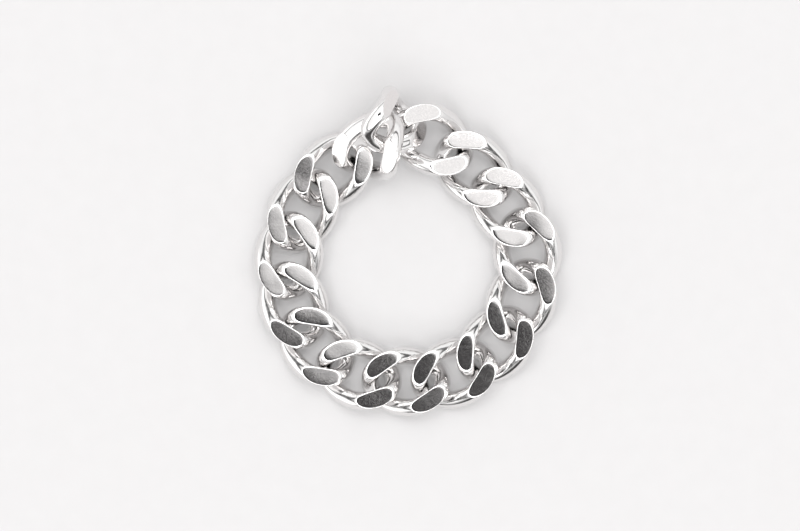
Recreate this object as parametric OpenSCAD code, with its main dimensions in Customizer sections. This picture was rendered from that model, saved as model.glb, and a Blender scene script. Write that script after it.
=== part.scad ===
/* [Wire and link] */
// Diameter of the wire
wire_d = 1.5; // [1.2:0.05:2.2]
// Room lengthwise in a link's eye beside its two neighbours' wires, in wire diameters
eye_room_l = 1.03; // [0.92:0.01:1.3]
// Room across a link's eye beside one neighbour's wire, in wire diameters
eye_room_w = 0.87; // [0.8:0.01:1.2]
// Twist from one end of a link to the other, in degrees
twist = 100; // [95:1:108]
// Fullness of the link's oval, where 2 is a plain ellipse
fullness = 2.5; // [2.4:0.1:3]
// Depth filed off the top and the bottom of each link
file_depth = 0.52; // [0.3:0.02:0.6]

/* [Hidden] */
lying_names = ["link_01", "link_02", "link_03", "link_04", "link_05", "link_06", "link_07",
    "link_08", "link_09", "link_10", "link_11", "link_12", "link_13", "link_14"];

// The loop of wire is a row of rings, each a polygon with this many sides.
loop_rings = 32;
wire_sides = 10;

// The eye is the opening inside a link, measured before the link is twisted.
eye_l = wire_d * (2 + eye_room_l);
eye_w = wire_d * (1 + eye_room_w);
half_l = (eye_l + wire_d) / 2;
half_w = (eye_w + wire_d) / 2;

// The chain lies a little slack: its pitch is this share of an eye's length. The lying links
// are a step apart round the finger hollow, whose axis is the Z axis.
slackness = 0.912;
link_step = 23.8;
first_angle = 77.4;
pitch = slackness * eye_l;
ring_r = pitch / (2 * sin(link_step / 2));

// How each link lies, clockwise from the first one. Slip shifts it round the ring, in degrees,
// and out shifts it outwards, in wire diameters. Yaw turns it on the surface, nose lifts its
// anticlockwise end and roll lifts its inner side, in degrees.
SLIP = 0;
OUT = 1;
YAW = 2;
NOSE = 3;
ROLL = 4;
lying = [
    // slip, out, yaw, nose, roll
    [0.6, 0.42, -15.5, 11.5, 3],
    [0.9, -0.19, -5, 0, 0],
    [-0.4, -0.23, 11, 0, 0],
    [-0.1, 0.1, 2.5, 0, 0],
    [-0.1, 0.04, -4.5, 0, 0],
    [-0.7, 0, -1, 0, 0],
    [-0.9, -0.05, -3, 0, 0],
    [-1, -0.14, -3.5, 0, 0],
    [-0.6, 0, 3.5, 0, 0],
    [-0.6, 0.08, -0.5, 0, 0],
    [0.6, -0.02, -0.5, 0, 0],
    [0.4, -0.13, 0, 0, 0],
    [0.5, -0.19, 1, 0, 0],
    [-0.2, -0.09, 3, -2.5, 0]
];
squeezed = [2, -0.01, 16, -42, 0];
popped = [15, 1.36, -1.5, 59, 3];

function swell(value) = sign(value) * pow(abs(value), 2 / fullness);

// One point of the wire's centre line: a full oval that turns as it runs along the link.
function centre_at(t) =
    let (
        x = half_l * swell(cos(t)),
        w = half_w * swell(sin(t)),
        turn = -twist / 2 * x / half_l
    )
    [x, w * cos(turn), w * sin(turn)];

centre_line = [for (i = [0 : loop_rings - 1]) centre_at(360 * i / loop_rings)];

function unit(v) = v / norm(v);

// The points of the wire's surface round one point of its centre line.
function wire_ring(i) =
    let (
        ahead = centre_line[(i + 1) % loop_rings],
        behind = centre_line[(i + loop_rings - 1) % loop_rings],
        along = unit(ahead - behind),
        side = unit(cross(along, [0, 0, 1])),
        up = cross(side, along)
    )
    [for (k = [0 : wire_sides - 1])
        let (a = 360 * k / wire_sides)
        centre_line[i] + wire_d / 2 * (cos(a) * side + sin(a) * up)];

surface = [for (i = [0 : loop_rings - 1]) each wire_ring(i)];

// The flats are filed to this distance from each other.
flat_t = 2 * (max([for (p = centre_line) p.z]) + wire_d / 2 - file_depth);

// How far a link's lowest point lies below its middle when the link is tilted.
function drop(row) =
    -min([for (p = surface)
        let (z = max(-flat_t / 2, min(flat_t / 2, p.z)))
        p.x * sin(row[NOSE]) + (p.y * sin(row[ROLL]) + z * cos(row[ROLL])) * cos(row[NOSE])]);

// The loop of wire: each ring is joined to the next one, and the last to the first.
module wire_loop() {
    faces = [for (i = [0 : loop_rings - 1])
        let (
            here = i * wire_sides,
            there = (i + 1) % loop_rings * wire_sides
        )
        for (k = [0 : wire_sides - 1])
            let (over = (k + 1) % wire_sides)
            [here + k, there + k, there + over, here + over]];
    polyhedron(points = surface, faces = faces, convexity = 6);
}

// A finished link lies along X with its flats level.
module curb_link() {
    slab = 2 * (half_l + wire_d);
    color([0.78, 0.79, 0.8])
    intersection() {
        wire_loop();
        cube([slab, slab, flat_t], center = true);
    }
}

// A link at its step round the ring, resting on the surface by its lowest point.
module place_link(i, row) {
    rotate([0, 0, first_angle - link_step * i + row[SLIP]])
    translate([ring_r + row[OUT] * wire_d, 0, drop(row)])
    rotate([row[ROLL], -row[NOSE], 90 + row[YAW]])
    curb_link();
}

module lying_link(i) {
    place_link(i, lying[i]);
}

// The link that is pushed into its neighbour and stands half upright.
module squeezed_link() {
    place_link(len(lying), squeezed);
}

// The link that stands up out of the chain.
module popped_link() {
    place_link(len(lying) + 1, popped);
}

for (i = [0 : len(lying) - 1])
    lying_link(i);
squeezed_link();
popped_link();
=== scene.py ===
"""Chain link ring: a finger ring of polished curb chain that lies on a white light board."""

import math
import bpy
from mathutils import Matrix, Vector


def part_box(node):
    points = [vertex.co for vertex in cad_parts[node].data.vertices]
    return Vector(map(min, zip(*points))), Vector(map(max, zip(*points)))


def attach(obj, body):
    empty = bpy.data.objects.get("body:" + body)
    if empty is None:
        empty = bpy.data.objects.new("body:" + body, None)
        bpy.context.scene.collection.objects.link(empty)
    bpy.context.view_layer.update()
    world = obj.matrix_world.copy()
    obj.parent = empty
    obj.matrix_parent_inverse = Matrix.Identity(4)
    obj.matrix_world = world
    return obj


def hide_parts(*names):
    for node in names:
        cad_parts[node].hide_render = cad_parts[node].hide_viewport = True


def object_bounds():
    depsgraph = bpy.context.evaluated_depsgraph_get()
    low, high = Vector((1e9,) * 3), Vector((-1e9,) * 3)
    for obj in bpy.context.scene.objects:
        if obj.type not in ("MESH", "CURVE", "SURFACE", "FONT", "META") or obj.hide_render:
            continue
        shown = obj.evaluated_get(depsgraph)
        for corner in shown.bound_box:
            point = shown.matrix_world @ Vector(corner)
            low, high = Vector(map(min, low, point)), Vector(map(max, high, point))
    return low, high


bl_info = {
    "name": "Chain Link Ring",
    "version": (1, 0, 0),
    "blender": (4, 5, 0),
    "location": "View3D > Sidebar > Chain Ring",
    "description": "Builds a ring of filed curb chain, link by link, with its board, light and camera",
    "category": "Add Mesh",
}

from typing import NamedTuple

import bmesh
import bpy
from bpy.props import FloatProperty, FloatVectorProperty, IntProperty, PointerProperty
from mathutils import Matrix, Vector

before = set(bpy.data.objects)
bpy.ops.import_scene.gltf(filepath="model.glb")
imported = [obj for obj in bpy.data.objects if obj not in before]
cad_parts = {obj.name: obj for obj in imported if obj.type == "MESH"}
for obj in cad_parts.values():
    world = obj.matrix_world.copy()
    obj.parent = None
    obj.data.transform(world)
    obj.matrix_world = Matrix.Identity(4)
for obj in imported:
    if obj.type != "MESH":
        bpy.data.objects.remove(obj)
cad_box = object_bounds()

MM = 0.001
UP = Vector((0.0, 0.0, 1.0))

# The chain lies a little slack: its pitch is this share of an eye's length.
SLACKNESS = 0.912
# The links stand a step apart round the finger hollow, from the first one on, in degrees. Both
# numbers were rounded from the circle that a scratch program laid through places on the photo.
LINK_STEP = 23.8
FIRST_ANGLE = 77.4
# The corner between +X and +Y, as a direction. The flats lean towards it or away from it.
LEAN_TOWARDS = (0.7071, 0.7071, 0.0)


class Lie(NamedTuple):
    """How one link lies. Slip, yaw, nose and roll are in degrees, out is in wire diameters.

    The leans are how far the file ran off level on the link's outer and inner flat, in degrees
    towards the corner between +X and +Y.
    """

    node: str
    slip: float
    out: float
    yaw: float
    nose: float
    roll: float
    outer_lean: float
    inner_lean: float


# Most of these numbers weren't chosen by hand. Scratch programs fitted the links to places read off
# the photo, and one set the leans of link_02 to link_14 from the greys of the photo's flats. All
# were rounded. A few leans were changed afterwards, and link_01's were given one by one.
LYING = (
    Lie("link_01", 0.6, 0.42, -15.5, 11.5, 3, 0.4, 0.4),
    Lie("link_02", 0.9, -0.19, -5, 0, 0, 1.9, 1.9),
    Lie("link_03", -0.4, -0.23, 11, 0, 0, 1.6, 0.7),
    Lie("link_04", -0.1, 0.1, 2.5, 0, 0, -0.2, 0),
    Lie("link_05", -0.1, 0.04, -4.5, 0, 0, -1.1, -1.6),
    Lie("link_06", -0.7, 0, -1, 0, 0, -2, -2.4),
    Lie("link_07", -0.9, -0.05, -3, 0, 0, -1.6, -2.2),
    Lie("link_08", -1, -0.14, -3.5, 0, 0, -1.1, -1.2),
    Lie("link_09", -0.6, 0, 3.5, 0, 0, -0.9, 0.95),
    Lie("link_10", -0.6, 0.08, -0.5, 0, 0, -0.3, -0.1),
    Lie("link_11", 0.6, -0.02, -0.5, 0, 0, -0.5, 1.4),
    Lie("link_12", 0.4, -0.13, 0, 0, 0, 0.8, 1.3),
    Lie("link_13", 0.5, -0.19, 1, 0, 0, 0.7, 1.2),
    Lie("link_14", -0.2, -0.09, 3, -2.5, 0, 2.2, 3),
)
SQUEEZED = Lie("squeezed_link", 2, -0.01, 16, -42, 0, 0, 0)
POPPED = Lie("popped_link", 15, 1.36, -1.5, 59, 3, 0, 0)


class ChainRingSizes(bpy.types.PropertyGroup):
    """Sizes of one link and of its filed flats."""

    wire_d: FloatProperty(
        name="Wire diameter", description="Diameter of the round wire",
        default=1.5 * MM, unit="LENGTH",
    )
    eye_room_l: FloatProperty(
        name="Eye room lengthwise",
        description="Room in a link's eye beside its neighbours' two wires, in wire diameters",
        default=1.03,
    )
    eye_room_w: FloatProperty(
        name="Eye room across",
        description="Room across a link's eye beside one neighbour's wire, in wire diameters",
        default=0.87,
    )
    twist: FloatProperty(
        name="Twist", description="Twist from one end of a link to the other",
        default=math.radians(100), subtype="ANGLE", unit="ROTATION",
    )
    fullness: FloatProperty(
        name="Fullness", description="Fullness of the link's oval, where 2 is a plain ellipse",
        default=2.5,
    )
    file_depth: FloatProperty(
        name="File depth", description="Depth filed off the top and the bottom of each link",
        default=0.52 * MM, unit="LENGTH",
    )
    rim: FloatProperty(
        name="Rim rounding", description="Rounding that polishing leaves on a flat's rim",
        default=0.04 * MM, unit="LENGTH",
    )
    inner_rim: FloatProperty(
        name="Inner rim rounding",
        description="Rounding on the rims of the flats next to the finger, which are rubbed more",
        default=0.085 * MM, unit="LENGTH",
    )
    crown: FloatProperty(
        name="Crown", description="How much a flat still bulges, as a share of what was filed off",
        default=0.01, subtype="FACTOR",
    )
    sections: IntProperty(
        name="Sections", description="Sections of wire round one link", default=128,
    )
    sides: IntProperty(
        name="Sides", description="Sides of one section of wire", default=56,
    )


class ChainRingFinish(bpy.types.PropertyGroup):
    """Colours of the steel and the board."""

    steel: FloatVectorProperty(
        name="Polished steel", description="Colour that the polished wire reflects",
        default=(0.83, 0.818, 0.813), size=3, subtype="COLOR",
    )
    flat: FloatVectorProperty(
        name="Filed flats", description="Colour that the filed flats reflect",
        default=(0.835, 0.812, 0.805), size=3, subtype="COLOR",
    )
    board: FloatVectorProperty(
        name="Light board", description="Colour of the white board under the ring",
        default=(0.467, 0.459, 0.46), size=3, subtype="COLOR",
    )
    board_glow: FloatProperty(
        name="Board glow", description="Light that comes up through the board",
        default=0.14, min=0.0,
    )


def centre_at(t, half_l, half_w, turn_in_all, fullness):
    """One point of the wire's centre line: a full oval that turns as it runs along the link."""
    def swell(value):
        return math.copysign(abs(value) ** (2 / fullness), value)

    x = half_l * swell(math.cos(t))
    w = half_w * swell(math.sin(t))
    turn = -turn_in_all / 2 * x / half_l
    return Vector((x, w * math.cos(turn), w * math.sin(turn)))


# Short steps in each section of wire, by which the line's length is measured.
FINE_STEPS = 20


def even_centre_line(sizes):
    """The centre line as points an even distance apart.

    An eye holds two neighbours' wires lengthwise and one across, and the line runs half a wire
    outside it.
    """
    half_l = sizes.wire_d * (3 + sizes.eye_room_l) / 2
    half_w = sizes.wire_d * (2 + sizes.eye_room_w) / 2
    steps = FINE_STEPS * sizes.sections
    fine = [
        centre_at(2 * math.pi * i / steps, half_l, half_w, sizes.twist, sizes.fullness)
        for i in range(steps + 1)
    ]
    run = [0.0]
    for a, b in zip(fine, fine[1:]):
        run.append(run[-1] + (b - a).length)
    points, k = [], 0
    for i in range(sizes.sections):
        goal = run[-1] * i / sizes.sections
        while run[k + 1] < goal:
            k += 1
        share = (goal - run[k]) / (run[k + 1] - run[k])
        points.append(fine[k].lerp(fine[k + 1], share))
    return points


def wire_loop(bm, line, radius, sides):
    """Sweeps the round wire along its closed centre line."""
    rings = []
    for i, centre in enumerate(line):
        along = (line[(i + 1) % len(line)] - line[i - 1]).normalized()
        side = along.cross(UP).normalized()
        matrix = Matrix((side, side.cross(along) * -1, along)).transposed().to_4x4()
        matrix.translation = centre
        made = bmesh.ops.create_circle(bm, segments=sides, radius=radius, matrix=matrix)
        rings.append(list({e for v in made["verts"] for e in v.link_edges}))
    for i, ring in enumerate(rings):
        bmesh.ops.bridge_loops(bm, edges=ring + rings[(i + 1) % len(rings)])
    bmesh.ops.recalc_face_normals(bm, faces=bm.faces)


# A link's second material slot holds the filed flats.
FLAT_SLOT = 1
# Cuts across a flat's rim, in rim roundings over the filed level, and where the flat's grain starts.
RIM_LEVELS = (-1.0, -0.5, 0.0, 0.7, 1.5, 2.3, 3.5)
GRAIN_START = 2.3
# Points closer than this to a cut, in metres, count as on it.
CUT_TOLERANCE = 1e-7
GRAIN_TOLERANCE = 10 * CUT_TOLERANCE


def file_flat(bm, place, normal, rim, crown):
    """Presses one side of the link down to a flat with a rounded rim."""
    def near():
        return [f for f in bm.faces if f.calc_center_median().y * place.y > 0]

    for level in RIM_LEVELS:
        faces = near()
        edges = {e for f in faces for e in f.edges}
        verts = {v for f in faces for v in f.verts}
        bmesh.ops.bisect_plane(
            bm, geom=[*verts, *edges, *faces], dist=CUT_TOLERANCE,
            plane_co=place + normal * (level * rim), plane_no=normal,
        )
    faces = near()
    grain_level = GRAIN_START * rim - GRAIN_TOLERANCE
    for face in faces:
        if all((v.co - place).dot(normal) > grain_level for v in face.verts):
            face.material_index = FLAT_SLOT
    for v in {v for f in faces for v in f.verts}:
        over = (v.co - place).dot(normal) + rim
        if over > 0:
            pressed = rim * (1 - math.exp(-over / rim)) + crown * over
            v.co += normal * (pressed - over)


def flat_places(line, half_t, top):
    """The middles of the two flats on the link's upper or lower side, the outer one first."""
    places = []
    for side in (-1, 1):
        peak = max((p for p in line if p.y * side > 0), key=lambda p: p.z * top)
        places.append(Vector((peak.x, peak.y, top * half_t)))
    return places


def flat_half_thickness(line, sizes):
    """Half the distance between the filed flats."""
    return max(p.z for p in line) + sizes.wire_d / 2 - sizes.file_depth


def turned(lie):
    """The link's turn on the board and its tilts, as a matrix."""
    angle = math.radians(FIRST_ANGLE - LINK_STEP * link_number(lie) + lie.slip)
    yaw = Matrix.Rotation(angle + math.radians(90 + lie.yaw), 4, "Z")
    nose = Matrix.Rotation(math.radians(-lie.nose), 4, "Y")
    roll = Matrix.Rotation(math.radians(lie.roll), 4, "X")
    return yaw @ nose @ roll


def leaning(lean, turn):
    """The upward normal of a flat, as the link itself sees it."""
    off = Vector(LEAN_TOWARDS) * math.tan(math.radians(lean))
    level = turn.to_3x3().inverted() @ off
    level.z = 0.0
    return (UP + level).normalized()


def link_number(lie):
    """The link's place, clockwise from the first one."""
    return [row.node for row in LYING + (SQUEEZED, POPPED)].index(lie.node)


def middle_of(lie, sizes):
    """Where the link's middle stands over the board."""
    pitch = SLACKNESS * sizes.wire_d * (2 + sizes.eye_room_l)
    ring_r = pitch / (2 * math.sin(math.radians(LINK_STEP / 2)))
    angle = math.radians(FIRST_ANGLE - LINK_STEP * link_number(lie) + lie.slip)
    radius = ring_r + lie.out * sizes.wire_d
    return Vector((radius * math.cos(angle), radius * math.sin(angle), 0.0))


def build_link(lie):
    """Models one link and puts it where its solid lies."""
    sizes = bpy.context.scene.chain_ring_sizes
    line = even_centre_line(sizes)
    half_t = flat_half_thickness(line, sizes)
    turn = turned(lie)
    bm = bmesh.new()
    wire_loop(bm, line, sizes.wire_d / 2, sizes.sides)
    rims = (sizes.rim, sizes.inner_rim)
    leans = (lie.outer_lean, lie.inner_lean)
    for place, rim, lean in zip(flat_places(line, half_t, 1), rims, leans):
        file_flat(bm, place, leaning(lean, turn), rim, sizes.crown)
    for place, rim in zip(flat_places(line, half_t, -1), rims):
        file_flat(bm, place, -UP, rim, sizes.crown)
    bmesh.ops.transform(bm, matrix=turn, verts=bm.verts)
    low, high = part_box(lie.node)
    shift = middle_of(lie, sizes)
    shift.z = low.z - min(v.co.z for v in bm.verts)
    bmesh.ops.translate(bm, vec=shift, verts=bm.verts)
    mesh = bpy.data.meshes.new("wire_" + lie.node)
    bm.to_mesh(mesh)
    bm.free()
    mesh.materials.append(material_named("Mirror-polished steel", polished_steel))
    mesh.materials.append(material_named("Filed flat", filed_flat))
    for polygon in mesh.polygons:
        polygon.use_smooth = True
    piece = bpy.data.objects.new("wire_" + lie.node, mesh)
    bpy.context.scene.collection.objects.link(piece)
    check_place(piece, low, high)
    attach(piece, "root")
    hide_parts(lie.node)
    return piece


# How far a link's box may be off its solid's.
PLACE_TOLERANCE = 0.12 * MM


def check_place(piece, low, high):
    """Stops if a link isn't where its solid is."""
    for axis in range(3):
        values = [v.co[axis] for v in piece.data.vertices]
        if max(abs(min(values) - low[axis]), abs(max(values) - high[axis])) > PLACE_TOLERANCE:
            raise RuntimeError(f"{piece.name} lies off its solid along axis {axis}")


def material_named(name, fill):
    """The material of that name, made once."""
    found = bpy.data.materials.get(name)
    if found:
        return found
    material = bpy.data.materials.new(name)
    material.use_nodes = True
    tree = material.node_tree
    tree.nodes.clear()
    output = tree.nodes.new("ShaderNodeOutputMaterial")
    shader = tree.nodes.new("ShaderNodeBsdfPrincipled")
    tree.links.new(shader.outputs["BSDF"], output.inputs["Surface"])
    fill(tree, shader)
    return material


# Noise seldom leaves the middle of its 0 to 1, so that stretch of it is spread over a whole range.
NOISE_MIDDLE = (0.3, 0.7)


def noise(tree, scale, detail):
    """Noise on the piece's own coordinates, with its scale in bumps for each metre."""
    place = tree.nodes.new("ShaderNodeTexCoord")
    texture = tree.nodes.new("ShaderNodeTexNoise")
    texture.inputs["Scale"].default_value = scale
    texture.inputs["Detail"].default_value = detail
    tree.links.new(place.outputs["Object"], texture.inputs["Vector"])
    return texture.outputs["Fac"]


def spread(tree, value, target):
    """Spreads noise over a range."""
    node = tree.nodes.new("ShaderNodeMapRange")
    fit_range(node, NOISE_MIDDLE, target)
    tree.links.new(value, node.inputs["Value"])
    return node.outputs["Result"]


def fit_range(node, source, target):
    """Sets both ranges of a Map Range node."""
    node.inputs["From Min"].default_value = source[0]
    node.inputs["From Max"].default_value = source[1]
    node.inputs["To Min"].default_value = target[0]
    node.inputs["To Max"].default_value = target[1]


def bump(tree, height, strength, distance, under=None):
    """A bump normal from a height, laid over another one if that is given."""
    node = tree.nodes.new("ShaderNodeBump")
    node.inputs["Strength"].default_value = strength
    node.inputs["Distance"].default_value = distance
    tree.links.new(height, node.inputs["Height"])
    if under:
        tree.links.new(under, node.inputs["Normal"])
    return node.outputs["Normal"]


def tint(tree, value, colour, share):
    """A colour and a darker share of it, mixed by noise."""
    ramp = tree.nodes.new("ShaderNodeValToRGB")
    shades = (colour * share, colour)
    for stop, shade, at in zip(ramp.color_ramp.elements, shades, NOISE_MIDDLE):
        stop.color = (*shade, 1.0)
        stop.position = at
    tree.links.new(value, ramp.inputs["Fac"])
    return ramp.outputs["Color"]


# Polished wire: faint patches of tone, fine polishing marks, and waves in its surface.
PATCH_SCALE = 900.0
PATCH_SHARE = 0.97
MARK_SCALE = 4000.0
MARK_ROUGHNESS = (0.08, 0.14)
WAVE_SCALE = 900.0
WAVE_STRENGTH = 0.4
WAVE_DEPTH = 0.02 * MM


def polished_steel(tree, shader):
    """Bright wire with faint polishing marks."""
    steel = Vector(bpy.context.scene.chain_ring_finish.steel)
    shader.inputs["Metallic"].default_value = 1.0
    patches = noise(tree, PATCH_SCALE, detail=2.0)
    tree.links.new(tint(tree, patches, steel, PATCH_SHARE), shader.inputs["Base Color"])
    marks = noise(tree, MARK_SCALE, detail=3.0)
    tree.links.new(spread(tree, marks, MARK_ROUGHNESS), shader.inputs["Roughness"])
    waves = noise(tree, WAVE_SCALE, detail=1.0)
    tree.links.new(bump(tree, waves, WAVE_STRENGTH, WAVE_DEPTH), shader.inputs["Normal"])


# Filed flats: the file's fine grain, over broad shallow hollows.
GRAIN_SCALE = 7000.0
GRAIN_SHARE = 0.92
GRAIN_ROUGHNESS = (0.09, 0.15)
GRAIN_STRENGTH = 0.12
GRAIN_DEPTH = 0.01 * MM
HOLLOW_SCALE = 300.0
HOLLOW_STRENGTH = 0.5
HOLLOW_DEPTH = 0.1 * MM


def filed_flat(tree, shader):
    """Flats with the fine grain that file and polish leave."""
    flat = Vector(bpy.context.scene.chain_ring_finish.flat)
    shader.inputs["Metallic"].default_value = 1.0
    grain = noise(tree, GRAIN_SCALE, detail=3.0)
    tree.links.new(tint(tree, grain, flat, GRAIN_SHARE), shader.inputs["Base Color"])
    tree.links.new(spread(tree, grain, GRAIN_ROUGHNESS), shader.inputs["Roughness"])
    hollows = noise(tree, HOLLOW_SCALE, detail=1.0)
    broad = bump(tree, hollows, HOLLOW_STRENGTH, HOLLOW_DEPTH)
    marks = bump(tree, grain, GRAIN_STRENGTH, GRAIN_DEPTH, under=broad)
    tree.links.new(marks, shader.inputs["Normal"])


# Matt board: a faint tooth, and light that comes up through it.
TOOTH_SCALE = 600.0
TOOTH_SHARE = 0.98
TOOTH_STRENGTH = 0.2
TOOTH_DEPTH = 0.1 * MM
BOARD_ROUGHNESS = 0.9
BOARD_SHEEN_LEVEL = 0.2
GLOW_COLOUR = (1.0, 0.995, 0.995, 1.0)


def light_board(tree, shader):
    """Matt white board, lit a little from below."""
    finish = bpy.context.scene.chain_ring_finish
    white = Vector(finish.board)
    shader.inputs["Roughness"].default_value = BOARD_ROUGHNESS
    shader.inputs["Specular IOR Level"].default_value = BOARD_SHEEN_LEVEL
    tooth = noise(tree, TOOTH_SCALE, detail=6.0)
    tree.links.new(tint(tree, tooth, white, TOOTH_SHARE), shader.inputs["Base Color"])
    tree.links.new(bump(tree, tooth, TOOTH_STRENGTH, TOOTH_DEPTH), shader.inputs["Normal"])
    shader.inputs["Emission Color"].default_value = GLOW_COLOUR
    shader.inputs["Emission Strength"].default_value = finish.board_glow


class CHAINRING_OT_lying_links(bpy.types.Operator):
    """Builds the links that lie on the board"""

    bl_idname = "chainring.lying_links"
    bl_label = "Lying Links"

    def execute(self, context):
        for lie in LYING:
            build_link(lie)
        return {"FINISHED"}


class CHAINRING_OT_squeezed_link(bpy.types.Operator):
    """Builds the link that is pushed into its neighbour and stands half upright"""

    bl_idname = "chainring.squeezed_link"
    bl_label = "Squeezed Link"

    def execute(self, context):
        build_link(SQUEEZED)
        return {"FINISHED"}


class CHAINRING_OT_popped_link(bpy.types.Operator):
    """Builds the link that stands up out of the chain"""

    bl_idname = "chainring.popped_link"
    bl_label = "Popped-up Link"

    def execute(self, context):
        build_link(POPPED)
        return {"FINISHED"}


# The board's side and the gap under the ring, in metres.
BOARD_SIDE = 0.6
BOARD_GAP = 0.01 * MM
# The photo's frame, in its pixels, and where the finger hollow's axis stands in it, by the same
# circle as the links' step.
FRAME_W = 800
FRAME_H = 531
HOLLOW_X = 406.3
HOLLOW_Y = 264.1
# What one pixel of the photo spans on the board.
PIXEL = 0.084 * MM
# The camera's height, in metres, and the width of its sensor, in millimetres.
CAMERA_HEIGHT = 0.6
SENSOR = 36.0
# Edges across the tent are sines towards a side of it, and a reach is a stretch of height on a unit
# sphere. Both are soft: a light rises or fades from the first number to the second.
RISING = (0.0, 1.0)
FADING = (1.0, 0.0)
# The dark opening overhead, on the side away from the lean corner.
OPENING_EDGE = (-0.03, 0.045)
OPENING_REACH = (0.92, 0.95)
OPENING_COLOUR = (0.0075, 0.0072, 0.0075)
# Rings of the tent from the board's level up: height on a unit sphere and light there.
TENT_RINGS = (
    (0.0, 0.16),
    (0.22, 0.22),
    (0.39, 0.235),
    (0.43, 0.01),
    (0.48, 0.01),
    (0.52, 0.235),
    (0.78, 0.24),
    (0.88, 0.8),
    (0.93, 1.0),
    (0.972, 1.0),
    (0.992, 0.21),
)
TENT_STRENGTH = 5.0
# Low down the room is dark in front of the ring and bright at its left.
FRONT_EDGE = (-0.95, -0.62)
LEFT_EDGE = (-0.8, -0.6)
LOW_REACH = (0.28, 0.45)
FRONT_COLOUR = (0.015, 0.0145, 0.0145)
LEFT_COLOUR = (0.33, 0.328, 0.325)
# A bright panel in front, over the dark.
PANEL_EDGE = (-0.75, -0.6)
PANEL_REACH = (0.45, 0.55)
PANEL_COLOUR = (0.75, 0.75, 0.75)
# A gap in the bright ring overhead, on its right.
GAP_TOWARDS = (0.98, -0.2, 0.0)
GAP_EDGE = (0.24, 0.3)
GAP_REACH = (0.83, 0.87)
GAP_COLOUR = (0.21, 0.21, 0.21)


class CHAINRING_OT_stage(bpy.types.Operator):
    """Lays the board, lights it and puts the camera straight above the ring"""

    bl_idname = "chainring.stage"
    bl_label = "Board, Light and Camera"

    def execute(self, context):
        lay_board(context.scene)
        light_tent(context.scene)
        hang_camera(context.scene)
        return {"FINISHED"}


def lay_board(scene):
    """A board just under the ring."""
    bm = bmesh.new()
    bmesh.ops.create_grid(bm, x_segments=1, y_segments=1, size=BOARD_SIDE / 2)
    bmesh.ops.translate(bm, vec=(0.0, 0.0, cad_box[0].z - BOARD_GAP), verts=bm.verts)
    mesh = bpy.data.meshes.new("board")
    bm.to_mesh(mesh)
    bm.free()
    mesh.materials.append(material_named("White light board", light_board))
    board = bpy.data.objects.new("board", mesh)
    scene.collection.objects.link(board)


def light_tent(scene):
    """A white tent round the ring, with a dark opening overhead beside the camera.

    The world's own direction sets the light, so it stays still when the camera moves.
    """
    world = bpy.data.worlds.new("White tent")
    scene.world = world
    world.use_nodes = True
    tree = world.node_tree
    tree.nodes.clear()
    output = tree.nodes.new("ShaderNodeOutputWorld")
    background = tree.nodes.new("ShaderNodeBackground")
    tree.links.new(background.outputs["Background"], output.inputs["Surface"])
    place = tree.nodes.new("ShaderNodeTexCoord")
    split = tree.nodes.new("ShaderNodeSeparateXYZ")
    tree.links.new(place.outputs["Generated"], split.inputs["Vector"])
    height = split.outputs["Z"]
    rings = tree.nodes.new("ShaderNodeValToRGB")
    rings.color_ramp.interpolation = "EASE"
    # New stops come in halfway along, and the loop after this gives each its place.
    while len(rings.color_ramp.elements) < len(TENT_RINGS):
        rings.color_ramp.elements.new(0.5)
    for stop, (at, light) in zip(rings.color_ramp.elements, TENT_RINGS):
        stop.position = at
        stop.color = (light, light, light, 1.0)
    tree.links.new(height, rings.inputs["Fac"])
    low = ranged(tree, height, LOW_REACH, FADING)
    left = multiplied(tree, ranged(tree, split.outputs["X"], LEFT_EDGE, FADING), low)
    front = multiplied(tree, ranged(tree, split.outputs["Y"], FRONT_EDGE, FADING), low)
    over = ranged(tree, height, PANEL_REACH, RISING)
    panel = multiplied(tree, ranged(tree, split.outputs["Y"], PANEL_EDGE, FADING), over)
    gap_side = ranged(tree, sine_towards(tree, place, GAP_TOWARDS), GAP_EDGE, RISING)
    gap = multiplied(tree, gap_side, ranged(tree, height, GAP_REACH, RISING))
    open_side = ranged(tree, sine_towards(tree, place, LEAN_TOWARDS), OPENING_EDGE, FADING)
    opening = multiplied(tree, open_side, ranged(tree, height, OPENING_REACH, RISING))
    light = blended(tree, left, rings.outputs["Color"], LEFT_COLOUR)
    light = blended(tree, front, light, FRONT_COLOUR)
    light = blended(tree, panel, light, PANEL_COLOUR)
    light = blended(tree, gap, light, GAP_COLOUR)
    light = blended(tree, opening, light, OPENING_COLOUR)
    tree.links.new(light, background.inputs["Color"])
    background.inputs["Strength"].default_value = TENT_STRENGTH
    scene.view_settings.view_transform = "Standard"


def sine_towards(tree, place, direction):
    """How far a ray leans towards a level direction."""
    node = tree.nodes.new("ShaderNodeVectorMath")
    node.operation = "DOT_PRODUCT"
    node.inputs[1].default_value = direction
    tree.links.new(place.outputs["Generated"], node.inputs[0])
    return node.outputs["Value"]


def multiplied(tree, one, other):
    """The product of two values."""
    node = tree.nodes.new("ShaderNodeMath")
    node.operation = "MULTIPLY"
    tree.links.new(one, node.inputs[0])
    tree.links.new(other, node.inputs[1])
    return node.outputs["Value"]


def blended(tree, share, below, colour):
    """A plain colour laid over another by a share."""
    node = tree.nodes.new("ShaderNodeMix")
    node.data_type = "RGBA"
    tree.links.new(share, node.inputs["Factor"])
    tree.links.new(below, node.inputs["A"])
    node.inputs["B"].default_value = (*colour, 1.0)
    return node.outputs["Result"]


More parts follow.
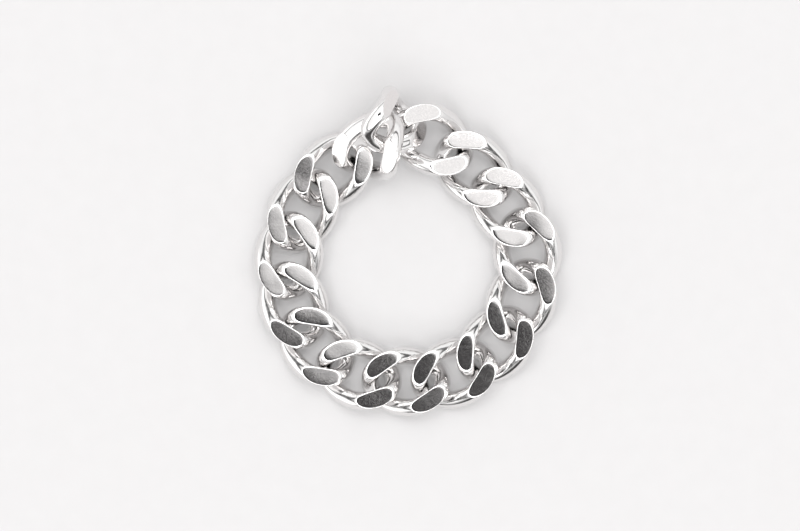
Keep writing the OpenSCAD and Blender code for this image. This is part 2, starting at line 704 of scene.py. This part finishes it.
def ranged(tree, value, source, target):
    """Maps one range onto another, softly."""
    node = tree.nodes.new("ShaderNodeMapRange")
    node.interpolation_type = "SMOOTHSTEP"
    fit_range(node, source, target)
    tree.links.new(value, node.inputs["Value"])
    return node.outputs["Result"]


def hang_camera(scene):
    """The camera looks straight down, with the ring where the photo has it."""
    data = bpy.data.cameras.new("camera")
    data.sensor_width = SENSOR
    data.lens = SENSOR * CAMERA_HEIGHT / (FRAME_W * PIXEL)
    camera = bpy.data.objects.new("camera", data)
    scene.collection.objects.link(camera)
    x = (FRAME_W / 2 - HOLLOW_X) * PIXEL
    y = (HOLLOW_Y - FRAME_H / 2) * PIXEL
    camera.location = (x, y, CAMERA_HEIGHT)
    scene.camera = camera


class CHAINRING_PT_panel(bpy.types.Panel):
    """The ring's sizes, finish and building steps"""

    bl_idname = "CHAINRING_PT_panel"
    bl_label = "Chain Link Ring"
    bl_space_type = "VIEW_3D"
    bl_region_type = "UI"
    bl_category = "Chain Ring"

    def draw(self, context):
        layout = self.layout
        for group in (context.scene.chain_ring_sizes, context.scene.chain_ring_finish):
            box = layout.box()
            for name in group.__annotations__:
                box.prop(group, name)
        for step in STEPS:
            layout.operator(step.bl_idname)


STEPS = (
    CHAINRING_OT_lying_links,
    CHAINRING_OT_squeezed_link,
    CHAINRING_OT_popped_link,
    CHAINRING_OT_stage,
)
CLASSES = (ChainRingSizes, ChainRingFinish, *STEPS, CHAINRING_PT_panel)


def register():
    for cls in CLASSES:
        bpy.utils.register_class(cls)
    bpy.types.Scene.chain_ring_sizes = PointerProperty(type=ChainRingSizes)
    bpy.types.Scene.chain_ring_finish = PointerProperty(type=ChainRingFinish)


def unregister():
    del bpy.types.Scene.chain_ring_finish
    del bpy.types.Scene.chain_ring_sizes
    for cls in reversed(CLASSES):
        bpy.utils.unregister_class(cls)


def main():
    register()
    bpy.ops.chainring.lying_links()
    bpy.ops.chainring.squeezed_link()
    bpy.ops.chainring.popped_link()
    bpy.ops.chainring.stage()


if __name__ == "__main__":
    main()
